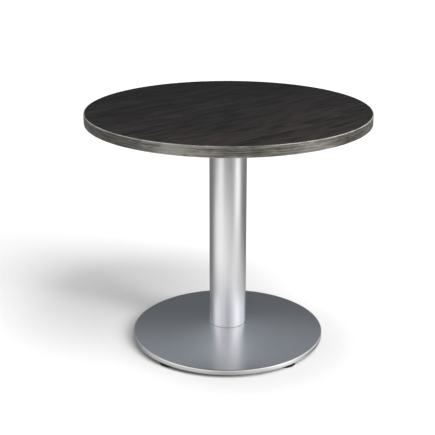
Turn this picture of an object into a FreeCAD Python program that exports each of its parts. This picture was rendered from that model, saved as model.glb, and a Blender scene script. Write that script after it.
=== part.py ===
import FreeCAD, Part
import math
import os

# Round pedestal coffee table: a banded laminate top on a spider, one steel column,
# and a ribbed ballast casting under a shallow conical cover, on four levelling feet.
# A tie rod through the column clamps spider, column, cover and casting together.
# Millimetres, +Z up, origin on the floor in the middle of the base.

V = FreeCAD.Vector
UP = V(0, 0, 1)
QUARTER_TURNS = [0, 90, 180, 270]

# Table top
top_diameter = 600.0
core_thickness = 20.0
laminate_thickness = 1.0
band_thickness = 2.0
band_edge_radius = 1.5
glue_line = 0.1

# Column
column_diameter = 80.0
column_wall = 1.5
column_length = 448.0
column_end_break = 0.3
gasket_thickness = 1.0
gasket_overhang = 1.0
gasket_edge_break = 0.3
spigot_clearance = 0.2

# Base cover, spun from sheet
base_diameter = 420.0
cover_thickness = 1.2
skirt_height = 10.5
cone_rise = 15.5
column_seat_margin = 4.0
cover_edge_radius = 2.4
cover_lip_width = 3.0
cover_gap = 0.3

# Base casting
casting_edge_break = 1.5
casting_wall = 12.0
casting_hub_diameter = 70.0
casting_hub_break = 4.0
casting_spigot_height = 8.0
casting_spigot_wall = 8.0
spigot_end_break = 1.5
rib_count = 8
rib_thickness = 6.0
boss_diameter = 20.0

# Spider under the top
spider_hub_diameter = 90.0
spider_hub_height = 12.0
spider_spigot_height = 10.0
arm_reach = 142.0
arm_root_width = 46.0
arm_tip_width = 34.0
arm_tip_radius = 8.0
arm_thickness = 5.0
arm_rib_thickness = 7.0
arm_rib_setback = 24.0
arm_rib_toe = 1.0

# Screws that hold the spider to the top
screw_setback = 12.0
screw_spacing = 18.0
screw_diameter = 4.4
screw_length = 16.0
screw_point_length = 4.0
screw_head_diameter = 9.0
screw_head_height = 2.8
screw_head_chamfer = 1.0
screw_clearance = 0.3
pilot_clearance = 0.05

# Tie rod with its nuts and washers
rod_diameter = 12.0
rod_protrusion = 1.5
rod_end_chamfer = 1.0
rod_clearance = 0.5
thread_clearance = 0.09
nut_flats = 18.0
nut_height = 10.8
nut_chamfer = 1.0
washer_diameter = 24.0
washer_thickness = 2.5
recess_diameter = 34.0
recess_end_clearance = 1.2

# Levelling feet
glide_inset = 28.0
glide_spread_angle = 41.0
sole_diameter = 50.0
sole_thickness = 3.0
sole_edge_chamfer = 0.8
sole_pin_diameter = 12.0
sole_pin_height = 2.0
pin_end_clearance = 0.1
running_clearance = 0.09
knob_diameter = 46.0
knob_height = 5.0
knob_edge_chamfer = 0.6
knob_web = 1.2
grip_count = 8
grip_radius = 3.0
grip_depth = 1.0
stem_diameter = 8.0
stem_engagement = 8.5
stem_end_chamfer = 0.8
stem_head_flats = 12.0
glide_names = ["rear_right", "rear_left", "front_left", "front_right"]

# One overrun for every cut that passes right through, and one depth for ribs and bosses sunk in a wall
overrun = 5.0
embed = 2.0

# Heights, from the floor up
foot_height = sole_thickness + knob_height
cover_rim_height = foot_height + skirt_height
cover_seat_height = cover_rim_height + cone_rise
column_foot = cover_seat_height + gasket_thickness
column_head = column_foot + column_length
spider_top = column_head + spider_hub_height
core_foot = spider_top + laminate_thickness
core_head = core_foot + core_thickness
table_height = core_head + laminate_thickness

# Radii that several pieces share
base_radius = base_diameter / 2
column_radius = column_diameter / 2
column_seat_radius = column_radius + column_seat_margin
spigot_radius = column_radius - column_wall - spigot_clearance
board_radius = top_diameter / 2 - band_thickness - glue_line
cone_slope = cone_rise / (base_radius - column_seat_radius)
cone_length_share = math.hypot(1, cone_slope)
casting_radius = base_radius - cover_thickness - cover_gap
casting_foot = foot_height + cover_thickness + cover_gap
glide_circle_radius = base_radius - glide_inset
screw_circle_radius = arm_reach - screw_setback
arm_rib_reach = arm_reach - arm_rib_setback
recess_depth = washer_thickness + nut_height + rod_protrusion + recess_end_clearance
upper_washer_seat = spider_top - recess_depth
lower_washer_seat = casting_foot + recess_depth


def rounding_arc(corner, back, ahead, radius):
    """Arc of a radius that touches both lines leaving a corner."""
    half_angle = back.getAngle(ahead) / 2
    setback = radius / math.tan(half_angle)
    inwards = (back + ahead).normalize()
    centre = corner + inwards * (radius / math.sin(half_angle))
    return Part.Arc(corner + back * setback, centre - inwards * radius, corner + ahead * setback).toShape()


def outline_edges(corners, chamfered):
    """Edges of a closed outline in the XZ plane. Each corner is X, Z and its rounding or chamfer."""
    points = [V(x, 0, z) for x, z, size in corners]
    sizes = [size for x, z, size in corners]
    breaks = []
    for i, corner in enumerate(points):
        if sizes[i] == 0:
            breaks.append(None)
            continue
        back = (points[i - 1] - corner).normalize()
        ahead = (points[(i + 1) % len(points)] - corner).normalize()
        if chamfered:
            breaks.append(Part.makeLine(corner + back * sizes[i], corner + ahead * sizes[i]))
        else:
            breaks.append(rounding_arc(corner, back, ahead, sizes[i]))
    edges = []
    for i, corner in enumerate(points):
        following = (i + 1) % len(points)
        start = corner
        end = points[following]
        if breaks[i] is not None:
            edges.append(breaks[i])
            start = breaks[i].Vertexes[-1].Point
        if breaks[following] is not None:
            end = breaks[following].Vertexes[0].Point
        edges.append(Part.makeLine(start, end))
    return edges


def outline_face(corners, chamfered=False):
    """Flat face in the XZ plane inside an outline with rounded or chamfered corners."""
    return Part.Face(Part.Wire(outline_edges(corners, chamfered)))


def revolved(corners, chamfered=False):
    """Solid of revolution about the Z axis."""
    return outline_face(corners, chamfered).revolve(V(0, 0, 0), UP, 360)


def upright_cylinder(radius, foot, head, x=0, y=0):
    return Part.makeCylinder(radius, head - foot, V(x, y, foot))


def through_hole(radius, foot, head, x=0, y=0):
    """Cutting cylinder that passes both ends by the overrun."""
    return upright_cylinder(radius, foot - overrun, head + overrun, x, y)


def hexagon_prism(flats, foot, height):
    corner_radius = flats / 2 / math.cos(math.pi / 6)
    corners = []
    for i in range(7):
        angle = math.radians(60 * i)
        corners.append(V(corner_radius * math.cos(angle), corner_radius * math.sin(angle), foot))
    return Part.Face(Part.makePolygon(corners)).extrude(V(0, 0, height))


def turned(shape, degrees):
    """Copy of a shape turned about the Z axis."""
    copy = shape.copy()
    copy.rotate(V(0, 0, 0), UP, degrees)
    return copy


def export(shape, name):
    shape.exportStep("parts/" + name + ".step")


def cone_height(radius, inset):
    """Height of the cover's cone at a radius, on a surface that lies an inset below its face."""
    return cover_rim_height + (base_radius - radius) * cone_slope - inset * cone_length_share


def screw_places():
    """Two screw positions on each of the four arms."""
    places = []
    for quarter in QUARTER_TURNS:
        for side in (-1, 1):
            place = V(screw_circle_radius, side * screw_spacing / 2, 0)
            places.append(FreeCAD.Rotation(UP, quarter).multVec(place))
    return places


def board(foot, thickness):
    """Disc of the top's board or laminate."""
    return upright_cylinder(board_radius, foot, foot + thickness)


def with_pilot_holes(disc, foot, head):
    """Disc with a hole for each spider screw, from below."""
    for place in screw_places():
        hole = upright_cylinder(screw_diameter / 2 + pilot_clearance, foot - overrun, head, place.x, place.y)
        disc = disc.cut(hole)
    return disc


def top_core():
    pilot_end = spider_top - arm_thickness + screw_length
    return with_pilot_holes(board(core_foot, core_thickness), core_foot, pilot_end)


def top_laminate():
    return board(core_head, laminate_thickness)


def backing_laminate():
    return with_pilot_holes(board(spider_top, laminate_thickness), spider_top, core_foot + overrun)


def edge_band():
    outer = top_diameter / 2
    inner = outer - band_thickness
    return revolved([(inner, spider_top, 0), (outer, spider_top, band_edge_radius),
                     (outer, table_height, band_edge_radius), (inner, table_height, 0)])


def spider_arm():
    """One arm along +X: a flat flange under the top with a tapering rib."""
    flange_foot = spider_top - arm_thickness
    root = recess_diameter / 2
    corners = [(root, -arm_root_width / 2, 0), (arm_reach, -arm_tip_width / 2, arm_tip_radius),
               (arm_reach, arm_tip_width / 2, arm_tip_radius), (root, arm_root_width / 2, 0)]
    plan = outline_face(corners)
    plan.rotate(V(0, 0, 0), V(1, 0, 0), -90)
    plan.translate(V(0, 0, flange_foot))
    flange = plan.extrude(V(0, 0, arm_thickness))
    profile = outline_face([(root, column_head, 0), (spider_hub_diameter / 2, column_head, 0),
                            (arm_rib_reach, flange_foot - arm_rib_toe, 0), (arm_rib_reach, spider_top, 0),
                            (root, spider_top, 0)])
    profile.translate(V(0, -arm_rib_thickness / 2, 0))
    return flange.fuse(profile.extrude(V(0, arm_rib_thickness, 0)))


def spider():
    """Cast cross with a hub on the column's head and a spigot inside the tube."""
    spigot_foot = column_head - spider_spigot_height
    hub = revolved([(0, spigot_foot, 0), (spigot_radius, spigot_foot, spigot_end_break),
                    (spigot_radius, column_head, 0), (spider_hub_diameter / 2, column_head, 0),
                    (spider_hub_diameter / 2, spider_top, 0), (0, spider_top, 0)], chamfered=True)
    arm = spider_arm()
    body = hub.fuse([turned(arm, quarter) for quarter in QUARTER_TURNS])
    body = body.cut(upright_cylinder(recess_diameter / 2, upper_washer_seat, spider_top + overrun))
    body = body.cut(through_hole(rod_diameter / 2 + rod_clearance, spigot_foot, spider_top))
    for place in screw_places():
        hole_radius = screw_diameter / 2 + screw_clearance
        body = body.cut(through_hole(hole_radius, spider_top - arm_thickness, spider_top, place.x, place.y))
    return body.removeSplitter()


def spider_screws():
    """Pan-head wood screws from below, through the arms into the board."""
    seat = spider_top - arm_thickness
    shank = screw_diameter / 2
    head = screw_head_diameter / 2
    head_foot = seat - screw_head_height
    point = seat + screw_length
    screw = revolved([(0, head_foot, 0), (head, head_foot, screw_head_chamfer), (head, seat, 0),
                      (shank, seat, 0), (shank, point - screw_point_length, 0), (0, point, 0)],
                     chamfered=True)
    screws = []
    for place in screw_places():
        copy = screw.copy()
        copy.translate(place)
        screws.append(copy)
    return Part.makeCompound(screws)


def washer(foot):
    body = upright_cylinder(washer_diameter / 2, foot, foot + washer_thickness)
    return body.cut(through_hole(rod_diameter / 2 + rod_clearance, foot, foot + washer_thickness))


def nut(foot):
    """Hexagon nut with its corners chamfered on both faces."""
    corner_radius = nut_flats / 2 / math.cos(math.pi / 6)
    head = foot + nut_height
    envelope = revolved([(0, foot, 0), (corner_radius, foot, nut_chamfer),
                         (corner_radius, head, nut_chamfer), (0, head, 0)], chamfered=True)
    body = hexagon_prism(nut_flats, foot, nut_height).common(envelope)
    return body.cut(through_hole(rod_diameter / 2 + thread_clearance, foot, foot + nut_height))


def tie_rod():
    clamp_stack = washer_thickness + nut_height + rod_protrusion
    foot = lower_washer_seat - clamp_stack
    head = upper_washer_seat + clamp_stack
    radius = rod_diameter / 2
    return revolved([(0, foot, 0), (radius, foot, rod_end_chamfer), (radius, head, rod_end_chamfer),
                     (0, head, 0)], chamfered=True)


def column_tube():
    inner = column_radius - column_wall
    return revolved([(inner, column_foot, 0), (column_radius, column_foot, column_end_break),
                     (column_radius, column_head, column_end_break), (inner, column_head, 0)],
                    chamfered=True)


def column_gasket():
    inner = spigot_radius + spigot_clearance
    outer = column_radius + gasket_overhang
    return revolved([(inner, cover_seat_height, 0), (outer, cover_seat_height, 0),
                     (outer, column_foot, gasket_edge_break), (inner, column_foot, 0)], chamfered=True)


def cover_skin(inset, edge_radius):
    """Solid under the cover's outer or inner face: flat column seat, cone, rounded rim and skirt."""
    outer = base_radius - inset
    # Where the cone's inset surface meets the flat seat and the skirt
    seat = cover_seat_height - inset
    seat_radius = base_radius - (seat + inset * cone_length_share - cover_rim_height) / cone_slope
    foot = foot_height + inset
    return revolved([(0, foot, 0), (outer, foot, 0), (outer, cone_height(outer, inset), edge_radius),
                     (seat_radius, seat, 0), (0, seat, 0)])


def base_cover():
    """Spun cover with the hole for the casting's spigot and a lip folded under its rim."""
    shell = cover_skin(0, cover_edge_radius)
    shell = shell.cut(cover_skin(cover_thickness, cover_edge_radius - cover_thickness))
    lip_hole = base_radius - cover_lip_width
    shell = shell.cut(upright_cylinder(lip_hole, foot_height - overrun, foot_height + cover_thickness))
    seat = cover_seat_height
    return shell.cut(through_hole(spigot_radius + spigot_clearance, seat - cover_thickness, seat))


def casting_shell():
    """Ballast disc: a cone of tapering thickness with the hub below and the column's spigot above."""
    inset = cover_thickness + cover_gap
    seat = cover_seat_height - cover_thickness
    seat_radius = base_radius - (seat + inset * cone_length_share - cover_rim_height) / cone_slope
    hub = casting_hub_diameter / 2
    spigot_head = column_foot + casting_spigot_height
    spigot_bore = spigot_radius - casting_spigot_wall
    rim = cone_height(casting_radius, inset)
    return revolved([(0, casting_foot, 0), (hub, casting_foot, 0),
                     (hub, seat - casting_wall, casting_hub_break),
                     (casting_radius, casting_foot, 0), (casting_radius, rim, casting_edge_break),
                     (seat_radius, seat, 0), (spigot_radius, seat, 0),
                     (spigot_radius, spigot_head, spigot_end_break), (spigot_bore, spigot_head, 0),
                     (spigot_bore, seat, 0), (0, seat, 0)], chamfered=True)


def casting_rib():
    """One stiffening rib along +X, sunk into the disc above it."""
    hub = casting_hub_diameter / 2 - embed
    web_head = cover_seat_height - cover_thickness - casting_wall + embed
    profile = outline_face([(hub, casting_foot, 0), (casting_radius - embed, casting_foot, 0),
                            (casting_radius - embed, casting_foot + embed, 0), (hub, web_head, 0)])
    profile.translate(V(0, -rib_thickness / 2, 0))
    return profile.extrude(V(0, rib_thickness, 0))


def glide_angles():
    """Two feet at the rear and two at the front, spread alike to either side of the middle."""
    rear, front = QUARTER_TURNS[1], QUARTER_TURNS[3]
    return [rear - glide_spread_angle, rear + glide_spread_angle,
            front - glide_spread_angle, front + glide_spread_angle]


def at_glide(shape, angle):
    """Copy of a foot's piece, modelled on the Z axis, at its place under the base."""
    copy = shape.copy()
    copy.translate(V(glide_circle_radius, 0, 0))
    return turned(copy, angle)


def casting_boss():
    """Foot boss that reaches down from the disc to the knob's upper face."""
    head = cone_height(glide_circle_radius + boss_diameter / 2, cover_thickness + cover_gap) - embed
    return upright_cylinder(boss_diameter / 2, foot_height, head)


def base_casting():
    rib_step = 360 / rib_count
    ribs = [turned(casting_rib(), rib_step * i) for i in range(rib_count)]
    bosses = [at_glide(casting_boss(), angle) for angle in glide_angles()]
    body = casting_shell().fuse(ribs + bosses)
    body = body.cut(upright_cylinder(recess_diameter / 2, casting_foot - overrun, lower_washer_seat))
    body = body.cut(through_hole(rod_diameter / 2 + rod_clearance, lower_washer_seat, cover_seat_height))
    thread = through_hole(stem_diameter / 2 + running_clearance, foot_height, cover_rim_height)
    for angle in glide_angles():
        body = body.cut(at_glide(thread, angle))
    return body.removeSplitter()


def glide_sole():
    """Sole with the round pin on which the knob turns."""
    outer = sole_diameter / 2
    pin = sole_pin_diameter / 2
    pin_head = sole_thickness + sole_pin_height
    return revolved([(0, 0, 0), (outer, 0, sole_edge_chamfer), (outer, sole_thickness, 0),
                     (pin, sole_thickness, 0), (pin, pin_head, 0), (0, pin_head, 0)], chamfered=True)


def stem_head_foot():
    """Height of the stem head's lower face, at the roof of the knob's pin recess."""
    return sole_thickness + sole_pin_height + pin_end_clearance


def glide_knob():
    """Knob with finger grips, open below for the sole's pin and moulded round the stem's head."""
    outer = knob_diameter / 2
    body = revolved([(0, sole_thickness, 0), (outer, sole_thickness, knob_edge_chamfer),
                     (outer, foot_height, knob_edge_chamfer), (0, foot_height, 0)], chamfered=True)
    grip_step = 360 / grip_count
    grip_centre = outer + grip_radius - grip_depth
    grip = through_hole(grip_radius, sole_thickness, foot_height, grip_centre)
    body = body.cut([turned(grip, grip_step * i) for i in range(grip_count)])
    pin_recess = sole_pin_diameter / 2 + running_clearance
    body = body.cut(upright_cylinder(pin_recess, sole_thickness - overrun, stem_head_foot()))
    head_height = foot_height - knob_web - stem_head_foot()
    body = body.cut(hexagon_prism(stem_head_flats, stem_head_foot(), head_height))
    return body.cut(upright_cylinder(stem_diameter / 2, stem_head_foot(), foot_height + overrun))


def glide_stem():
    """M8 stem with its hexagon head inside the knob."""
    foot = stem_head_foot()
    tip = foot_height + stem_engagement
    radius = stem_diameter / 2
    head = hexagon_prism(stem_head_flats, foot, foot_height - knob_web - foot)
    shank = revolved([(0, foot, 0), (radius, foot, 0), (radius, tip, stem_end_chamfer), (0, tip, 0)],
                     chamfered=True)
    return head.fuse(shank).removeSplitter()


def export_glides():
    for name, angle in zip(glide_names, glide_angles()):
        export(at_glide(glide_sole(), angle), "glide_sole_" + name)
        export(at_glide(glide_knob(), angle), "glide_knob_" + name)
        export(at_glide(glide_stem(), angle), "glide_stem_" + name)


def main():
    os.makedirs("parts", exist_ok=True)
    export(top_core(), "top_core")
    export(top_laminate(), "top_laminate")
    export(backing_laminate(), "backing_laminate")
    export(edge_band(), "edge_band")
    export(spider(), "spider")
    export(spider_screws(), "spider_screws")
    export(washer(upper_washer_seat), "rod_upper_washer")
    export(nut(upper_washer_seat + washer_thickness), "rod_upper_nut")
    export(tie_rod(), "tie_rod")
    export(column_tube(), "column_tube")
    export(column_gasket(), "column_gasket")
    export(base_cover(), "base_cover")
    export(base_casting(), "base_casting")
    export(washer(lower_washer_seat - washer_thickness), "rod_lower_washer")
    export(nut(lower_washer_seat - washer_thickness - nut_height), "rod_lower_nut")
    export_glides()
    print("table height", table_height)


main()
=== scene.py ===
import bpy
import math
from mathutils import Matrix, Vector


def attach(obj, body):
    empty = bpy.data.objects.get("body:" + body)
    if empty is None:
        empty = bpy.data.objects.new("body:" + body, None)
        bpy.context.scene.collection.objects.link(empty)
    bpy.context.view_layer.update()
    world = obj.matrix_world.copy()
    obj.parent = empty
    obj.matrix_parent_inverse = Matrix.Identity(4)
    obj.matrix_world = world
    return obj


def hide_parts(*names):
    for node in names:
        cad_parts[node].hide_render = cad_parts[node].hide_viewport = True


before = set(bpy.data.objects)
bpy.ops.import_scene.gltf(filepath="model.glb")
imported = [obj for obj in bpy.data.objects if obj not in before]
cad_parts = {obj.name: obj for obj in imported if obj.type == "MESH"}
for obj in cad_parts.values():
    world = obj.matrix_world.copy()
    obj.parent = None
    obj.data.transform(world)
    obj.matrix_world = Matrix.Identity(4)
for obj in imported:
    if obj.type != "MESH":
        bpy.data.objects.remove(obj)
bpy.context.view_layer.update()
bpy.ops.object.select_all(action="DESELECT")

# Round pedestal table: dark wood-effect top with a paler edge band, satin silver column and base,
# black levelling feet. Metres, +Z up, the front is -Y. The spun and turned pieces are modelled
# in millimetres and brought to metres when they are put in their places.
MM = 0.001

# Radii of the spun pieces, in millimetres
TUBE_INSIDE = 38.5
TUBE_OUTSIDE = 40
BASE_RIM = 210
LAMINATE_RIM = 297.9
BAND_INSIDE = 298
BAND_OUTSIDE = 300

# Heights of the spun pieces above the floor, in millimetres
COVER_FOOT = 8
SKIRT_HEAD = 18.5
COVER_SEAT = 34
TUBE_FOOT = 34.35
TUBE_HEAD = 483
TOP_FOOT = 495
TOP_HEAD = 517

# Thickness of the cover's sheet and of the laminates, in millimetres
COVER_SHEET = 1.2
LAMINATE = 1

# Feet and where they stand round the base, in degrees from +X and in metres from the middle
FEET = {"rear_right": 49, "rear_left": 131, "front_left": 229, "front_right": 311}
FOOT_CIRCLE = 0.182

# Screws under the top: how far out along each arm, and how far to either side of its middle
SCREW_REACH = 0.130
SCREW_SIDE = 0.009

# The top's edge, where the band's print is laid: its radius and the middle of its height, in metres
EDGE_RADIUS = BAND_OUTSIDE * MM
EDGE_MIDDLE = (TOP_FOOT + TOP_HEAD) / 2 * MM

# Turn of the grain from +X
GRAIN_TURN = math.radians(44)

# Radius past which the base's rim is painted paler as a highlight, and how far inwards it fades, in metres
RIM_HIGHLIGHT_RADIUS = 0.2086
RIM_HIGHLIGHT_FADE = 0.0004

# Sharpest fold that is shaded smooth
SMOOTH_FOLD = math.radians(38)


# Small helpers for node materials

def new_finish(name, color, roughness, metallic=0.0):
    """A material with its shader; plain values are set on the shader's own sockets."""
    material = bpy.data.materials.new(name)
    material.use_nodes = True
    shader = material.node_tree.nodes["Principled BSDF"]
    shader.inputs["Base Color"].default_value = (*color, 1)
    shader.inputs["Roughness"].default_value = roughness
    shader.inputs["Metallic"].default_value = metallic
    return material, shader


def add_node(material, kind, **settings):
    """A new node of a kind, with its settings."""
    node = material.node_tree.nodes.new(kind)
    for name, value in settings.items():
        setattr(node, name, value)
    return node


def join(material, source, target):
    """Links an output to an input."""
    material.node_tree.links.new(source, target)


def feed(material, node, index, value):
    """Sets a socket to a number or links another socket to it."""
    if isinstance(value, bpy.types.NodeSocket):
        join(material, value, node.inputs[index])
    else:
        node.inputs[index].default_value = value


def calc(material, operation, first, second=0.0):
    """One step of arithmetic on numbers or outputs."""
    node = add_node(material, "ShaderNodeMath", operation=operation)
    feed(material, node, 0, first)
    feed(material, node, 1, second)
    return node.outputs[0]


def measure(material, operation, place, other):
    """A number worked out from a place and a fixed vector, such as their distance."""
    node = add_node(material, "ShaderNodeVectorMath", operation=operation)
    join(material, place, node.inputs[0])
    node.inputs[1].default_value = other
    return node.outputs["Value"]


def mixture(material, parts):
    """Sum of patterns, each times its share."""
    total = 0.0
    for pattern, share in parts:
        total = calc(material, "ADD", calc(material, "MULTIPLY", pattern, share), total)
    return total


def object_place(material):
    """Place on the object, in metres."""
    return add_node(material, "ShaderNodeTexCoord").outputs["Object"]


def split(material, place):
    """The X, Y and Z of a place."""
    node = add_node(material, "ShaderNodeSeparateXYZ")
    join(material, place, node.inputs[0])
    return node.outputs


def place_on(material, stretch=(1, 1, 1), turn=0.0):
    """Place on the object, turned about Z and stretched, in pattern cells per metre."""
    place = object_place(material)
    if turn:
        turned = add_node(material, "ShaderNodeMapping")
        turned.inputs["Rotation"].default_value = (0, 0, -turn)
        join(material, place, turned.inputs["Vector"])
        place = turned.outputs[0]
    stretched = add_node(material, "ShaderNodeMapping")
    stretched.inputs["Scale"].default_value = stretch
    join(material, place, stretched.inputs["Vector"])
    return stretched.outputs[0]


def along_grain(material, lengthwise, across):
    """Place in the wood print, in pattern cells per metre along the grain and across it."""
    return place_on(material, (lengthwise, across, 1), GRAIN_TURN)


def place_round(material, lengthwise=1, upright=1):
    """Place on the top's edge: arc length from the front, then height, in pattern cells per metre."""
    parts = split(material, object_place(material))
    toward_front = calc(material, "MULTIPLY", parts["Y"], -1.0)
    angle = calc(material, "ARCTAN2", parts["X"], toward_front)
    arc = calc(material, "MULTIPLY", angle, EDGE_RADIUS)
    joined = add_node(material, "ShaderNodeCombineXYZ")
    join(material, calc(material, "MULTIPLY", arc, lengthwise), joined.inputs[0])
    join(material, calc(material, "MULTIPLY", parts["Z"], upright), joined.inputs[1])
    return joined.outputs[0]


def from_axis(material):
    """Distance from the column's axis."""
    flat = add_node(material, "ShaderNodeVectorMath", operation="MULTIPLY")
    join(material, object_place(material), flat.inputs[0])
    flat.inputs[1].default_value = (1, 1, 0)
    away = add_node(material, "ShaderNodeVectorMath", operation="LENGTH")
    join(material, flat.outputs[0], away.inputs[0])
    return away.outputs["Value"]


def noise(material, place, detail, roughness, scale=1.0, distortion=0.0):
    """Cloudy pattern between 0 and 1."""
    node = add_node(material, "ShaderNodeTexNoise")
    join(material, place, node.inputs["Vector"])
    node.inputs["Scale"].default_value = scale
    node.inputs["Detail"].default_value = detail
    node.inputs["Roughness"].default_value = roughness
    node.inputs["Distortion"].default_value = distortion
    return node.outputs["Fac"]


def spread(material, value, low, high, out_low=0.0, out_high=1.0):
    """Maps low..high to the out range, smoothly and held at both ends."""
    node = add_node(material, "ShaderNodeMapRange", interpolation_type="SMOOTHSTEP")
    for index, number in enumerate((value, low, high, out_low, out_high)):
        feed(material, node, index, number)
    return node.outputs[0]


def tones(material, value, stops):
    """Colour ramp with stops of place and colour."""
    node = add_node(material, "ShaderNodeValToRGB")
    ramp = node.color_ramp
    while len(ramp.elements) < len(stops):
        ramp.elements.new(0.5)
    for element, (place, color) in zip(ramp.elements, stops):
        element.position = place
        element.color = (*color, 1)
    join(material, value, node.inputs[0])
    return node.outputs[0]


def shade(material, color, amount, tint):
    """Mixes a colour towards a tint by an amount."""
    node = add_node(material, "ShaderNodeMix", data_type="RGBA")
    join(material, amount, node.inputs["Factor"])
    join(material, color, node.inputs["A"])
    node.inputs["B"].default_value = (*tint, 1)
    return node.outputs["Result"]


def change_over(material, amount, first, second):
    """A plain colour that changes from the first to the second with an amount."""
    node = add_node(material, "ShaderNodeMix", data_type="RGBA")
    join(material, amount, node.inputs["Factor"])
    node.inputs["A"].default_value = (*first, 1)
    node.inputs["B"].default_value = (*second, 1)
    return node.outputs["Result"]


def relief(material, shader, height, depth, strength):
    """Bump of a height pattern; its depth is in metres."""
    node = add_node(material, "ShaderNodeBump")
    node.inputs["Distance"].default_value = depth
    node.inputs["Strength"].default_value = strength
    join(material, height, node.inputs["Height"])
    join(material, node.outputs[0], shader.inputs["Normal"])


# Finishes

def wood_laminate():
    """Near-black brown wood print: broad drifts, wavy figure, long fine streaks and pores, with an embossed
    face, and painted light that makes it paler to the front right and darker to the back."""
    material, shader = new_finish("dark_wood_laminate", (0.02, 0.017, 0.016), 0.5)
    shader.inputs["Specular IOR Level"].default_value = 0.12
    drift = noise(material, along_grain(material, 1.1, 4.2), detail=2, roughness=0.5)
    figure = noise(material, along_grain(material, 5.5, 36), detail=4, roughness=0.66, distortion=1.6)
    streaks = noise(material, along_grain(material, 13, 150), detail=4, roughness=0.65, distortion=0.9)
    pores = noise(material, along_grain(material, 50, 1300), detail=2, roughness=0.5)
    print_tone = mixture(material, [(streaks, 0.30), (figure, 0.50), (drift, 0.20)])
    # Painted light: paler and warmer to the front right, darker to the back
    print_tone = calc(material, "ADD", print_tone, painted_light_drift(material))
    browns = [(0.33, (0.0065, 0.0066, 0.0070)), (0.43, (0.0120, 0.0118, 0.0120)),
              (0.53, (0.0225, 0.0190, 0.0182)), (0.66, (0.0470, 0.0375, 0.0345))]
    color = tones(material, print_tone, browns)
    crack = calc(material, "MULTIPLY", spread(material, figure, 0.52, 0.40),
                 spread(material, streaks, 0.50, 0.40))
    color = shade(material, color, calc(material, "MULTIPLY", crack, 0.7), (0.006, 0.005, 0.005))
    color = shade(material, color, spread(material, pores, 0.60, 0.72, 0.0, 0.5), (0.008, 0.007, 0.007))
    join(material, color, shader.inputs["Base Color"])
    join(material, spread(material, streaks, 0.3, 0.7, 0.42, 0.52), shader.inputs["Roughness"])
    relief(material, shader, calc(material, "ADD", pores, streaks), 0.00012, 0.35)
    return material


def painted_light_drift(material):
    """Painted light: the print grows warmer and paler to the front right and darker to the back, as light
    falls on the top.
    """
    return measure(material, "DOT_PRODUCT", object_place(material), (0.11, -0.40, 0))


# Stretches where the band's print runs paler; the two at the front are painted highlights, the two at the
# sides paler print: place along the edge from the front, reach, tone
PALE_PRINT_AND_HIGHLIGHT_STRETCHES = [(-0.085, 0.105, 0.12), (0.170, 0.055, 0.05), (-0.62, 0.20, 0.06), (0.75, 0.18, 0.06)]

# Place along the edge from the front where the arris's painted highlight is dimmest
DIMMEST_HIGHLIGHT_PLACE = 0.028


def band_print():
    """Grey-brown wood print along the edge, satin, with paler stretches that are painted highlights at the
    front, paler where its arrises are trimmed round and carry a painted highlight, with the band's butt
    joint at the back."""
    material, shader = new_finish("edge_band_print", (0.10, 0.09, 0.08), 0.34)
    shader.inputs["Specular IOR Level"].default_value = 0.9
    lines = noise(material, place_round(material, 13, 400), detail=4, roughness=0.70, distortion=0.5)
    patches = noise(material, place_round(material, 22, 60), detail=3, roughness=0.6, distortion=0.6)
    pores = noise(material, place_round(material, 60, 1500), detail=2, roughness=0.5)
    around = place_round(material)
    print_tone = mixture(material, [(lines, 0.62), (patches, 0.38)])
    # Paler stretches: print at the sides, painted highlights at the front
    print_tone = calc(material, "ADD", print_tone, pale_print_and_painted_highlights(material, around))
    color = tones(material, print_tone, [(0.37, (0.028, 0.026, 0.020)), (0.46, (0.074, 0.069, 0.055)),
                                         (0.54, (0.126, 0.118, 0.098)), (0.63, (0.250, 0.238, 0.208))])
    color = shade(material, color, spread(material, pores, 0.60, 0.70, 0.0, 0.5), (0.030, 0.027, 0.022))
    # Paler arrises: the trimmed band, with a painted highlight where light catches the rounding
    color = shade(material, color, trimmed_arris_and_highlight(material, around, patches), (0.50, 0.48, 0.45))
    color = shade(material, color, butt_joint(material), (0.010, 0.009, 0.008))
    join(material, color, shader.inputs["Base Color"])
    join(material, spread(material, lines, 0.3, 0.7, 0.24, 0.34), shader.inputs["Roughness"])
    relief(material, shader, calc(material, "ADD", pores, lines), 0.00010, 0.25)
    return material


def from_edge_point(material, around, arc):
    """Distance from the middle of the band at an arc length from the front."""
    return measure(material, "DISTANCE", around, (arc, EDGE_MIDDLE, 0))


def pale_print_and_painted_highlights(material, around):
    """How much paler the band's print runs, with painted highlights in the two stretches at the front."""
    paler = 0.0
    for middle, reach, tone in PALE_PRINT_AND_HIGHLIGHT_STRETCHES:
        stretch = spread(material, from_edge_point(material, around, middle), 0.02, reach, tone, 0.0)
        paler = calc(material, "ADD", stretch, paler)
    return paler


def trimmed_arris_and_highlight(material, around, patches):
    """How much the band's rounded arrises show paler, partly the trimmed band and partly a painted
    highlight: they fade in over half a millimetre at its top and bottom, less in the print's dark patches
    and least where the painted highlight is dimmest."""
    height = split(material, object_place(material))["Z"]
    from_middle = calc(material, "ABSOLUTE", calc(material, "SUBTRACT", height, EDGE_MIDDLE))
    arris = spread(material, from_middle, 0.0094, 0.0099)
    patchy = spread(material, patches, 0.38, 0.60, 0.45, 1.0)
    # Painted highlight on the arris, dimmed round the place where light catches it least
    highlight_dimming = spread(material, from_edge_point(material, around, DIMMEST_HIGHLIGHT_PLACE), 0.035, 0.10, 0.30, 1.0)
    return calc(material, "MULTIPLY", calc(material, "MULTIPLY", arris, patchy), highlight_dimming)


def butt_joint(material):
    """1 on the band's joint at the back, a third of a millimetre wide, else 0."""
    half_width = 0.00018
    parts = split(material, object_place(material))
    near = calc(material, "LESS_THAN", calc(material, "ABSOLUTE", parts["X"]), half_width)
    behind = calc(material, "GREATER_THAN", parts["Y"], 0.0)
    return calc(material, "MULTIPLY", near, behind)


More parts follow.
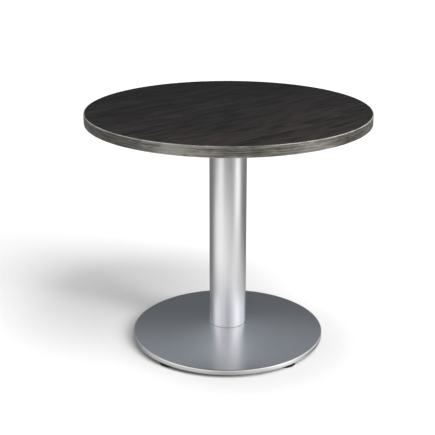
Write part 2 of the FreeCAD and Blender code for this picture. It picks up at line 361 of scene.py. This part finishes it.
def silver_coat(name, color, rough_low, rough_high, highlight_past=None):
    """Satin silver: fine metal flake, a faint orange peel and soft variation of gloss.
    Past a radius the colour may be painted paler and neutral, a painted highlight on the rim."""
    material, shader = new_finish(name, color, rough_high, 1.0)
    flake = noise(material, place_on(material), scale=3800, detail=1, roughness=0.5)
    peel = noise(material, place_on(material), scale=320, detail=2, roughness=0.5)
    cloud = noise(material, place_on(material), scale=14, detail=3, roughness=0.6)
    dark = tuple(0.97 * part for part in color)
    light = tuple(1.02 * part for part in color)
    coat = tones(material, flake, [(0.35, dark), (0.50, color), (0.66, light)])
    if highlight_past:
        # Painted highlight: the rim's colour is made paler and neutral, as where light catches it
        rim_highlight = spread(material, from_axis(material), highlight_past - RIM_HIGHLIGHT_FADE, highlight_past)
        coat = shade(material, coat, rim_highlight, (0.88, 0.88, 0.875))
    join(material, coat, shader.inputs["Base Color"])
    join(material, spread(material, cloud, 0.3, 0.7, rough_low, rough_high), shader.inputs["Roughness"])
    relief(material, shader, mixture(material, [(peel, 0.9), (flake, 0.1)]), 0.00002, 0.3)
    return material


def chipboard():
    """Pressed wood chips of mixed browns."""
    material, shader = new_finish("chipboard", (0.45, 0.30, 0.17), 0.85)
    chips = add_node(material, "ShaderNodeTexVoronoi")
    chips.inputs["Scale"].default_value = 1.0
    join(material, place_on(material, (160, 420, 700), 0.3), chips.inputs["Vector"])
    grey = add_node(material, "ShaderNodeSeparateColor")
    join(material, chips.outputs["Color"], grey.inputs[0])
    color = tones(material, grey.outputs[0], [(0.0, (0.22, 0.13, 0.06)), (0.4, (0.42, 0.28, 0.15)),
                                              (0.8, (0.58, 0.42, 0.25)), (1.0, (0.70, 0.55, 0.36))])
    join(material, color, shader.inputs["Base Color"])
    relief(material, shader, chips.outputs["Distance"], 0.0003, 0.6)
    return material


def backing_paper():
    """Plain dark balancing laminate with a faint fibre and sanded haze."""
    material, shader = new_finish("backing_paper", (0.03, 0.027, 0.026), 0.6)
    fibre = noise(material, along_grain(material, 90, 700), detail=3, roughness=0.6)
    haze = noise(material, place_on(material, (5, 5, 5)), detail=4, roughness=0.6)
    tone = mixture(material, [(fibre, 0.45), (haze, 0.55)])
    join(material, tones(material, tone, [(0.3, (0.022, 0.020, 0.020)), (0.5, (0.031, 0.028, 0.027)),
                                          (0.7, (0.045, 0.041, 0.039))]), shader.inputs["Base Color"])
    join(material, spread(material, haze, 0.3, 0.7, 0.52, 0.68), shader.inputs["Roughness"])
    relief(material, shader, fibre, 0.00008, 0.4)
    return material


def black_powder_coat():
    """Fine-textured black powder coat with slightly paler, worn high spots."""
    material, shader = new_finish("black_powder_coat", (0.012, 0.012, 0.013), 0.5)
    grains = noise(material, place_on(material), scale=1500, detail=2, roughness=0.6)
    cloud = noise(material, place_on(material), scale=26, detail=3, roughness=0.6)
    join(material, tones(material, grains, [(0.35, (0.009, 0.009, 0.010)), (0.6, (0.014, 0.014, 0.015)),
                                            (0.8, (0.024, 0.024, 0.025))]), shader.inputs["Base Color"])
    join(material, spread(material, cloud, 0.3, 0.7, 0.42, 0.58), shader.inputs["Roughness"])
    relief(material, shader, grains, 0.00012, 0.5)
    return material


def black_cast_iron():
    """Sand-cast iron under black primer: coarse skin and pits, darker in the pits and paler on the lumps.
    """
    material, shader = new_finish("primed_cast_iron", (0.02, 0.02, 0.021), 0.7)
    sand = noise(material, place_on(material), scale=900, detail=3, roughness=0.65)
    lumps = noise(material, place_on(material), scale=130, detail=3, roughness=0.6)
    tone = mixture(material, [(sand, 0.6), (lumps, 0.4)])
    join(material, tones(material, tone, [(0.3, (0.030, 0.030, 0.032)), (0.52, (0.060, 0.060, 0.062)),
                                          (0.75, (0.130, 0.124, 0.116))]), shader.inputs["Base Color"])
    join(material, spread(material, sand, 0.3, 0.7, 0.52, 0.76), shader.inputs["Roughness"])
    relief(material, shader, tone, 0.0005, 0.7)
    return material


def zinc_plating():
    """Bright zinc with a faint blue-yellow passivation bloom and turning marks."""
    material, shader = new_finish("zinc_plating", (0.62, 0.63, 0.62), 0.32, 1.0)
    bloom = noise(material, place_on(material), scale=180, detail=3, roughness=0.6)
    marks = noise(material, place_on(material, (60, 60, 5200)), detail=2, roughness=0.5)
    join(material, tones(material, bloom, [(0.30, (0.56, 0.59, 0.62)), (0.52, (0.64, 0.64, 0.62)),
                                           (0.72, (0.66, 0.62, 0.52))]), shader.inputs["Base Color"])
    join(material, spread(material, bloom, 0.3, 0.7, 0.26, 0.40), shader.inputs["Roughness"])
    relief(material, shader, marks, 0.00002, 0.4)
    return material


def moulded_black(name, base, rough_low, rough_high, grain_scale):
    """Moulded black plastic or rubber with a spark-eroded skin and soft scuffs."""
    material, shader = new_finish(name, (base, base, base), rough_high)
    skin = noise(material, place_on(material), scale=grain_scale, detail=2, roughness=0.6)
    scuffs = noise(material, place_on(material, (400, 2600, 400)), detail=3, roughness=0.6)
    greys = [(place, (share * base,) * 3) for place, share in ((0.30, 0.7), (0.55, 1.0), (0.75, 2.4))]
    join(material, tones(material, scuffs, greys), shader.inputs["Base Color"])
    join(material, spread(material, skin, 0.3, 0.7, rough_low, rough_high), shader.inputs["Roughness"])
    relief(material, shader, skin, 0.00005, 0.5)
    return material


def dress(node_names, material):
    """Gives CAD nodes a finish."""
    for name in node_names:
        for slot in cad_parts[name].material_slots:
            slot.material = material


wood = wood_laminate()
band = band_print()
backing = backing_paper()
column_silver = silver_coat("satin_silver_column", (0.78, 0.78, 0.79), 0.30, 0.34)
base_silver = silver_coat("satin_silver_base", (0.800, 0.812, 0.862), 0.275, 0.285, RIM_HIGHLIGHT_RADIUS)
zinc = zinc_plating()
knob_plastic = moulded_black("knob_plastic", 0.016, 0.38, 0.52, 2400)
sole_rubber = moulded_black("sole_rubber", 0.012, 0.62, 0.78, 1600)
gasket_rubber = moulded_black("gasket_rubber", 0.010, 0.55, 0.70, 2000)

dress(["top_laminate"], wood)
dress(["edge_band"], band)
dress(["top_core"], chipboard())
dress(["backing_laminate"], backing)
dress(["spider"], black_powder_coat())
dress(["base_casting"], black_cast_iron())
dress(["column_tube"], column_silver)
dress(["base_cover"], base_silver)
dress(["column_gasket"], gasket_rubber)
dress(["tie_rod", "rod_upper_washer", "rod_upper_nut", "rod_lower_washer", "rod_lower_nut"], zinc)
dress(["spider_screws"], zinc)
dress(["glide_stem_" + foot for foot in FEET], zinc)
dress(["glide_knob_" + foot for foot in FEET], knob_plastic)
dress(["glide_sole_" + foot for foot in FEET], sole_rubber)


# Ways to model turned and threaded pieces, in millimetres on the Z axis

def shell_of_rings(outline, sides, closed):
    """Extrudes ring from ring; each is a radius and a height.
    A closed section ends on its first ring, and an open one starts on a flat face."""
    radius, height = outline[0]
    bpy.ops.object.select_all(action="DESELECT")
    bpy.ops.mesh.primitive_circle_add(vertices=sides, radius=radius, location=(0, 0, height),
                                      fill_type="NOTHING" if closed else "NGON")
    shell = bpy.context.object
    bpy.ops.object.transform_apply(location=True, rotation=True, scale=True)
    bpy.ops.object.mode_set(mode="EDIT")
    bpy.ops.mesh.select_all(action="SELECT")
    for wider, higher in outline[1:]:
        bpy.ops.mesh.extrude_region_move(TRANSFORM_OT_translate={"value": (0, 0, higher - height)})
        share = wider / radius
        bpy.ops.transform.resize(value=(share, share, 1), center_override=(0, 0, higher))
        radius, height = wider, higher
    bpy.ops.mesh.select_all(action="SELECT")
    if closed:
        bpy.ops.mesh.remove_doubles(threshold=0.002)
    bpy.ops.mesh.normals_make_consistent(inside=False)
    bpy.ops.object.mode_set(mode="OBJECT")
    return shell


def turned_piece(steps, sides=48):
    """Solid built up from its foot; each step is a radius and a height."""
    return shell_of_rings(steps, sides, closed=False)


def rounded(corners):
    """Outline with its corners rounded; each corner is a radius from the axis, a height and
    its rounding."""
    steps = 6
    outline = []
    for index, (out, up, size) in enumerate(corners):
        corner = Vector((out, up))
        back = (Vector(corners[index - 1][:2]) - corner).normalized()
        ahead = (Vector(corners[(index + 1) % len(corners)][:2]) - corner).normalized()
        half = back.angle(ahead) / 2
        centre = corner + (back + ahead).normalized() * (size / math.sin(half))
        start = corner + back * (size / math.tan(half)) - centre
        end = corner + ahead * (size / math.tan(half)) - centre
        for step in range(steps + 1):
            spoke = start.lerp(end, step / steps).normalized() * size
            outline.append(tuple(centre + spoke))
    return outline


def spun_ring(corners, sides):
    """Ring spun round the Z axis from its closed section."""
    outline = rounded(corners)
    return shell_of_rings(outline + outline[:1], sides, closed=True)


def thread(foot, head, root, crest, pitch, width):
    """Ridge of triangular section that climbs a shank from foot to head; its root lies
    a little inside the shank."""
    sunk = 0.2
    depth = crest - root + sunk
    steps_per_turn = 28
    bpy.ops.object.select_all(action="DESELECT")
    # A circle of three corners stands 1.5 radii high on a base 1.732 radii wide
    bpy.ops.mesh.primitive_circle_add(vertices=3, radius=1,
                                      location=(crest - depth / 1.5, 0, foot + width / 2),
                                      rotation=(-math.pi / 2, -math.pi / 2, 0),
                                      scale=(width / math.sqrt(3), depth / 1.5, 1))
    ridge = bpy.context.object
    bpy.ops.object.transform_apply(location=True, rotation=True, scale=True)
    screw = ridge.modifiers.new("climb", "SCREW")
    screw.axis = "Z"
    screw.screw_offset = pitch
    screw.iterations = int((head - foot - width) / pitch)
    screw.steps = steps_per_turn
    screw.render_steps = steps_per_turn
    bpy.ops.object.modifier_apply(modifier="climb")
    bpy.ops.object.mode_set(mode="EDIT")
    bpy.ops.mesh.select_all(action="SELECT")
    bpy.ops.mesh.fill_holes(sides=3)
    bpy.ops.mesh.select_all(action="SELECT")
    bpy.ops.mesh.normals_make_consistent(inside=False)
    bpy.ops.object.mode_set(mode="OBJECT")
    return ridge


def hexagon(flats, foot, head):
    """Hexagon bar with a corner on the X axis."""
    bpy.ops.object.select_all(action="DESELECT")
    corner = flats / 2 / math.cos(math.pi / 6)
    bpy.ops.mesh.primitive_cylinder_add(vertices=6, radius=corner, depth=head - foot,
                                        location=(0, 0, (foot + head) / 2), rotation=(0, 0, math.pi / 6))
    bpy.ops.object.transform_apply(location=True, rotation=True, scale=True)
    return bpy.context.object


def merged(pieces):
    """One piece from several shells."""
    bpy.ops.object.select_all(action="DESELECT")
    for piece in pieces:
        piece.select_set(True)
    bpy.context.view_layer.objects.active = pieces[0]
    bpy.ops.object.join()
    return pieces[0]


def cross_recess(piece, face, length, width, depth):
    """Cuts a driver's cross into a downward face: two crossed blades that taper upwards."""
    for turn, taper in ((0, (0.55, 0.8, 1)), (math.pi / 2, (0.8, 0.55, 1))):
        bpy.ops.object.select_all(action="DESELECT")
        bpy.ops.mesh.primitive_cube_add(size=1, location=(0, 0, face), rotation=(0, 0, turn),
                                        scale=(length, width, 2 * depth))
        blade = bpy.context.object
        bpy.ops.object.mode_set(mode="EDIT")
        bpy.ops.mesh.select_all(action="DESELECT")
        bpy.ops.object.mode_set(mode="OBJECT")
        for corner in blade.data.vertices:
            corner.select = corner.co.z > 0
        bpy.ops.object.mode_set(mode="EDIT")
        bpy.ops.transform.resize(value=taper, center_override=(0, 0, face + depth))
        bpy.ops.object.mode_set(mode="OBJECT")
        cut = piece.modifiers.new("recess", "BOOLEAN")
        cut.operation = "DIFFERENCE"
        cut.object = blade
        bpy.context.view_layer.objects.active = piece
        bpy.ops.object.modifier_apply(modifier="recess")
        bpy.data.objects.remove(blade)


def placed_copy(model, name, x, y, turn, material, body, node):
    """Copy of a model with its own mesh, in metres at its place, riding on a body in a node's stead."""
    copy = model.copy()
    copy.data = model.data.copy()
    copy.name = name
    copy.data.transform(Matrix.Translation((x, y, 0)) @ Matrix.Rotation(turn, 4, "Z") @ Matrix.Scale(MM, 4))
    bpy.context.scene.collection.objects.link(copy)
    copy.data.materials.clear()
    copy.data.materials.append(material)
    bpy.ops.object.select_all(action="DESELECT")
    copy.select_set(True)
    bpy.context.view_layer.objects.active = copy
    bpy.ops.object.shade_smooth_by_angle(angle=SMOOTH_FOLD)
    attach(copy, body)
    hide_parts(node)


# Screws, rod and feet

def wood_screw():
    """Pan-head chipboard screw, head down, with a cross recess, thread and point. Its head
    bears on the arm's underside."""
    seat = 490.0
    face = seat - 2.8
    head = turned_piece([(1.4, face), (2.7, seat - 2.7), (3.7, seat - 2.35), (4.3, seat - 1.7),
                         (4.5, seat - 0.9), (4.5, seat - 0.05), (4.4, seat), (1.6, seat), (1.5, seat + 0.3),
                         (1.5, seat + 12), (0.9, seat + 14), (0.15, seat + 15.8)])
    cross_recess(head, face, length=4.9, width=1.25, depth=1.7)
    ridge = thread(seat + 1.5, seat + 13.4, root=1.5, crest=2.15, pitch=1.9, width=0.798)
    return merged([head, ridge])


def levelling_stem():
    """M8 stem with its thread and the hexagon head that sits in the knob."""
    shank = turned_piece([(3.3, 6.0), (3.3, 15.7), (2.6, 16.5)])
    ridge = thread(7.2, 16.3, root=3.3, crest=3.97, pitch=1.25, width=1.075)
    return merged([shank, ridge, hexagon(12.0, 5.1, 6.8)])


def threaded_rod():
    """M12 tie rod, threaded at both ends, plain between."""
    shank = turned_piece([(4.3, 10.7), (5.05, 11.5), (5.05, 48), (5.45, 49), (5.45, 455), (5.05, 456),
                          (5.05, 493), (4.3, 493.8)])
    lower = thread(11.0, 48.5, root=5.05, crest=5.97, pitch=1.75, width=1.54)
    upper = thread(455.5, 493.2, root=5.05, crest=5.97, pitch=1.75, width=1.54)
    return merged([shank, lower, upper])


def foot_sole():
    """Sole with three grooves in its tread, a rounded rim and the pin that the knob turns on."""
    depth = 0.6
    tread = []
    for inner in (4.0, 11.0, 18.0):
        tread += [(inner, 0), (inner + 0.6, depth), (inner + 3.6, depth), (inner + 4.2, 0)]
    rim = [(24.0, 0), (24.5, 0.12), (24.9, 0.5), (25.0, 1.0), (25.0, 2.7), (24.8, 3.0)]
    pin = [(6.0, 3.0), (6.0, 4.8), (5.8, 5.0)]
    return turned_piece(tread + rim + pin, sides=96)


def fit_arm_screws(screw):
    """Two screws in each arm of the spider, each left at a turn of its own."""
    number = 0
    for quarter in range(4):
        arm = Matrix.Rotation(quarter * math.pi / 2, 4, "Z")
        for side in (-1, 1):
            number += 1
            spot = arm @ Vector((SCREW_REACH, side * SCREW_SIDE, 0))
            placed_copy(screw, "arm_screw_" + str(number), spot.x, spot.y, quarter + side,
                        zinc, "table", "spider_screws")


def fit_feet(stem, sole):
    """A threaded stem and a grooved sole at each foot."""
    for foot, turn in FEET.items():
        angle = math.radians(turn)
        x, y = FOOT_CIRCLE * math.cos(angle), FOOT_CIRCLE * math.sin(angle)
        placed_copy(stem, "threaded_stem_" + foot, x, y, angle,
                    zinc, "spindle_" + foot, "glide_stem_" + foot)
        placed_copy(sole, "grooved_sole_" + foot, x, y, angle,
                    sole_rubber, "sole_" + foot, "glide_sole_" + foot)


def fit_hardware():
    """Puts the detailed hardware in its places and clears the models away."""
    screw, stem, rod, sole = wood_screw(), levelling_stem(), threaded_rod(), foot_sole()
    fit_arm_screws(screw)
    placed_copy(rod, "threaded_tie_rod", 0, 0, 0, zinc, "table", "tie_rod")
    fit_feet(stem, sole)
    for model in (screw, stem, rod, sole):
        bpy.data.objects.remove(model)


# Large round pieces, spun with many sides

def base_cover():
    """Spun sheet: seat round the column, shallow cone, rounded rim, skirt and a lip folded in."""
    seat_edge = 44
    lip = 207
    lip_top = COVER_FOOT + COVER_SHEET
    seat_below = COVER_SEAT - COVER_SHEET
    skirt_inside = BASE_RIM - COVER_SHEET
    # Where the cone's underside meets the skirt, and where it bends to the seat
    skirt_head_below = 17.41
    seat_edge_below = 43.94
    outer_face = [(TUBE_INSIDE, COVER_SEAT, 0.3), (seat_edge, COVER_SEAT, 9),
                  (BASE_RIM, SKIRT_HEAD, 2.4), (BASE_RIM, COVER_FOOT, 1.9)]
    lip_edge = [(lip, COVER_FOOT, 0.3), (lip, lip_top, 0.3)]
    inner_face = [(skirt_inside, lip_top, 0.2), (skirt_inside, skirt_head_below, 1.2),
                  (seat_edge_below, seat_below, 9), (TUBE_INSIDE, seat_below, 0.3)]
    return spun_ring(outer_face + lip_edge + inner_face, sides=224)


def column_tube():
    """Drawn tube with its ends broken."""
    return spun_ring([(TUBE_INSIDE, TUBE_FOOT, 0.2), (TUBE_OUTSIDE, TUBE_FOOT, 0.2),
                      (TUBE_OUTSIDE, TUBE_HEAD, 0.4), (TUBE_INSIDE, TUBE_HEAD, 0.3)], sides=144)


def joint_ring():
    """Thin ring under the tube, a hair wider than it, so that a dark line shows."""
    wider = 0.1
    thickness = 0.4
    inside = TUBE_INSIDE + wider
    outside = TUBE_OUTSIDE + wider
    head = COVER_SEAT + thickness
    return spun_ring([(inside, COVER_SEAT, 0.1), (outside, COVER_SEAT, 0.1), (outside, head, 0.15),
                      (inside, head, 0.1)], sides=144)


def edge_band():
    """Band with both outer arrises trimmed round."""
    return spun_ring([(BAND_INSIDE, TOP_FOOT, 0.1), (BAND_OUTSIDE, TOP_FOOT, 1.5),
                      (BAND_OUTSIDE, TOP_HEAD, 1.5), (BAND_INSIDE, TOP_HEAD, 0.1)], sides=288)


def laminate_sheet(foot):
    """Disc of laminate from a height up."""
    return turned_piece([(LAMINATE_RIM, foot), (LAMINATE_RIM, foot + LAMINATE)], sides=288)


def fit_spun_piece(model, name, material, node):
    """Puts a spun piece in its node's stead on the table's body."""
    placed_copy(model, name, 0, 0, 0, material, "table", node)
    bpy.data.objects.remove(model)


fit_hardware()
fit_spun_piece(base_cover(), "spun_base_cover", base_silver, "base_cover")
fit_spun_piece(column_tube(), "drawn_column_tube", column_silver, "column_tube")
fit_spun_piece(joint_ring(), "foot_joint_ring", gasket_rubber, "column_gasket")
fit_spun_piece(edge_band(), "rounded_edge_band", band, "edge_band")
fit_spun_piece(laminate_sheet(TOP_HEAD - LAMINATE), "pressed_top_laminate", wood,
               "top_laminate")
fit_spun_piece(laminate_sheet(TOP_FOOT), "pressed_backing_laminate", backing,
               "backing_laminate")


# Studio

def glow_of(material, strength):
    """Plain light of a strength."""
    node = add_node(material, "ShaderNodeEmission")
    join(material, strength, node.inputs["Strength"])
    return node.outputs[0]


def blend(material, amount, first, second):
    """Changes from one shader to another with an amount."""
    node = add_node(material, "ShaderNodeMixShader")
    for index, source in enumerate((amount, first, second)):
        join(material, source, node.inputs[index])
    return node.outputs[0]


def seen_by_camera(material, path):
    """1 in the camera's own view, straight or through clear things, else 0."""
    return calc(material, "MAXIMUM", path.outputs["Is Camera Ray"], path.outputs["Is Transmission Ray"])


def floor_finish():
    """White ground: lit with the object's shadow, and lifted to white for the camera, but less under the
    base, a painted shade there.
    Metal sees it as pools of light in front of the table that fall off behind it."""
    material = bpy.data.materials.new("studio_ground")
    material.use_nodes = True
    material.node_tree.nodes.clear()
    path = add_node(material, "ShaderNodeLightPath")
    seen = seen_by_camera(material, path)
    lit = add_node(material, "ShaderNodeBsdfDiffuse")
    join(material, change_over(material, seen, (0.80, 0.80, 0.80), (1, 1, 1)), lit.inputs["Color"])
    ground = add_node(material, "ShaderNodeAddShader")
    join(material, lit.outputs[0], ground.inputs[0])
    lift = calc(material, "MULTIPLY", seen, lift_with_painted_shade(material))
    join(material, glow_of(material, lift), ground.inputs[1])
    pools = glow_of(material, pool_level(material))
    by_ray = blend(material, path.outputs["Is Glossy Ray"], ground.outputs[0], pools)
    # One-sided, so that the underside of the table can be looked at
    side = add_node(material, "ShaderNodeNewGeometry")
    clear = add_node(material, "ShaderNodeBsdfTransparent")
    one_sided = blend(material, side.outputs["Backfacing"], by_ray, clear.outputs[0])
    output = add_node(material, "ShaderNodeOutputMaterial")
    join(material, one_sided, output.inputs[0])
    return material


# Middle of the painted shade under the base, a little to the lit side
PAINTED_SHADE_MIDDLE = (0.025, -0.02, 0)


def lift_with_painted_shade(material):
    """The backdrop's glow for the camera: least under the base as painted shade, more round it, and most
    towards the backdrop's edges, where it paints light over the far shadow.
    """
    away = measure(material, "DISTANCE", object_place(material), PAINTED_SHADE_MIDDLE)
    # Painted shade close round the base, then painted light over the shadow further out
    near = spread(material, away, 0.19, 0.30, 0.02, 0.15)
    return calc(material, "ADD", near, spread(material, away, 0.42, 0.66, 0.0, 0.07))


# What metal sees on the ground: x, y, inner and outer radius, and gain, which is below 0 in shade
GROUND_LEVEL = 0.22
POOLS = [
    # Softboxes to the right and left, and the ground between them
    (1.27, -0.74, 0.07, 0.92, 1.77), (-0.80, -0.72, 0.41, 1.02, 0.93), (0.26, -0.34, 0.02, 0.84, 0.75),
    (2.05, -1.00, 0.10, 0.90, 1.10), (-1.40, -1.55, 0.10, 0.85, 1.60), (0.12, -1.08, 0.18, 0.48, 0.55),
    (-0.42, -0.20, 0.02, 0.28, 0.20),
    # Close round the base: a glint at the front right, and shade at both sides and in front
    (0.153, -0.190, 0.0, 0.075, 0.55), (0.215, -0.075, 0.0, 0.09, -0.40),
    (-0.220, -0.060, 0.0, 0.12, -0.22), (0.0, -0.250, 0.0, 0.08, -0.30),
]


def pool_level(material):
    """Brightness of the ground in reflections, dimmer close to the base."""
    place = object_place(material)
    level = GROUND_LEVEL
    for x, y, inner, outer, gain in POOLS:
        away = measure(material, "DISTANCE", place, (x, y, 0))
        level = calc(material, "ADD", spread(material, away, inner, outer, gain, 0.0), level)
    return calc(material, "MULTIPLY", level, spread(material, from_axis(material), 0.20, 0.30, 0.60, 1.0))


def studio_floor():
    """Wide ground, a hair below the soles."""
    below_soles = 0.00005
    bpy.ops.mesh.primitive_plane_add(size=80, location=(0, 0, -below_soles))
    floor = bpy.context.object
    floor.name = "studio_floor"
    floor.data.materials.append(floor_finish())


def toward(azimuth, elevation):
    """Direction from the table, in degrees; azimuth 0 is the front, and positive is to the right."""
    azimuth, elevation = math.radians(azimuth), math.radians(elevation)
    flat = math.cos(elevation)
    return Vector((flat * math.sin(azimuth), -flat * math.cos(azimuth), math.sin(elevation)))


# Levels of the studio above the ground: even fill, and in reflections a dim room
FILL_LEVEL = 0.34
SKY_LEVEL = 0.104

# Soft glows in reflections: azimuth, elevation, inner and outer half angle in degrees, gain
GLOWS = [
    # Softboxes to the right and left, and the room before the table
    (79, 4, 1, 79, 1.34), (-65, 13, 3, 62, 1.28), (23, 0, 54, 60, 0.56),
    # Weaker glows behind the table
    (168, 40, 12, 24, 0.16), (125, 22, 3, 30, 0.45), (-140, 36, 3, 30, 0.57), (180, 45, 4, 9, 0.33),
]


def sky_direction(world):
    """Direction that a ray leaves in."""
    return add_node(world, "ShaderNodeTexCoord").outputs["Generated"]


def sky_level(world):
    """Brightness of the studio above the ground in reflections."""
    direction = sky_direction(world)
    level = SKY_LEVEL
    for azimuth, elevation, inner, outer, gain in GLOWS:
        closeness = measure(world, "DOT_PRODUCT", direction, toward(azimuth, elevation))
        angle = calc(world, "ARCCOSINE", closeness)
        glow = spread(world, angle, math.radians(inner), math.radians(outer), gain, 0.0)
        level = calc(world, "ADD", glow, level)
    return level


def sky_tint(world, in_reflections):
    """White, and a cool grey behind the table in reflections."""
    behind = spread(world, split(world, sky_direction(world))["Y"], -0.1, 0.5)
    amount = calc(world, "MULTIPLY", behind, in_reflections)
    return change_over(world, amount, (1, 1, 1), (0.945, 1.01, 1.05))


def studio_world():
    """Even fill; white to the camera, and the studio's glows in reflections."""
    world = bpy.data.worlds.new("studio")
    bpy.context.scene.world = world
    world.use_nodes = True
    world.node_tree.nodes.clear()
    path = add_node(world, "ShaderNodeLightPath")
    in_reflections = path.outputs["Is Glossy Ray"]
    fill = add_node(world, "ShaderNodeMix")
    fill.inputs["A"].default_value = FILL_LEVEL
    join(world, in_reflections, fill.inputs["Factor"])
    join(world, sky_level(world), fill.inputs["B"])
    level = add_node(world, "ShaderNodeMix")
    join(world, seen_by_camera(world, path), level.inputs["Factor"])
    join(world, fill.outputs[0], level.inputs["A"])
    level.inputs["B"].default_value = 1.0
    background = add_node(world, "ShaderNodeBackground")
    join(world, sky_tint(world, in_reflections), background.inputs["Color"])
    join(world, level.outputs[0], background.inputs["Strength"])
    output = add_node(world, "ShaderNodeOutputWorld")
    join(world, background.outputs[0], output.inputs[0])


def soft_light(name, azimuth, elevation, width, energy):
    """Soft lamp as even as sunlight; its angles are in degrees."""
    lamp = bpy.data.lights.new(name, "SUN")
    lamp.energy = energy
    lamp.angle = math.radians(width)
    holder = bpy.data.objects.new(name, lamp)
    bpy.context.scene.collection.objects.link(holder)
    holder.visible_glossy = False
    holder.rotation_euler = toward(azimuth, elevation).to_track_quat("Z", "Y").to_euler()


def studio_camera():
    """Looks down on the table as the photograph does; its angles are in radians."""
    look_down = 0.3339
    look_left = 0.0111
    lens = bpy.data.cameras.new("camera")
    lens.lens = 82.32
    lens.sensor_width = 36
    holder = bpy.data.objects.new("camera", lens)
    bpy.context.scene.collection.objects.link(holder)
    holder.location = (0, -2.03224, 0.98286)
    holder.rotation_euler = (math.pi / 2 - look_down, 0, look_left)
    bpy.context.scene.camera = holder


studio_floor()
studio_world()
soft_light("high_key", azimuth=45, elevation=51.5, width=34.5, energy=1.72)
soft_light("low_side", azimuth=50.5, elevation=26, width=20, energy=1.25)
studio_camera()
bpy.context.scene.view_settings.view_transform = "Standard"
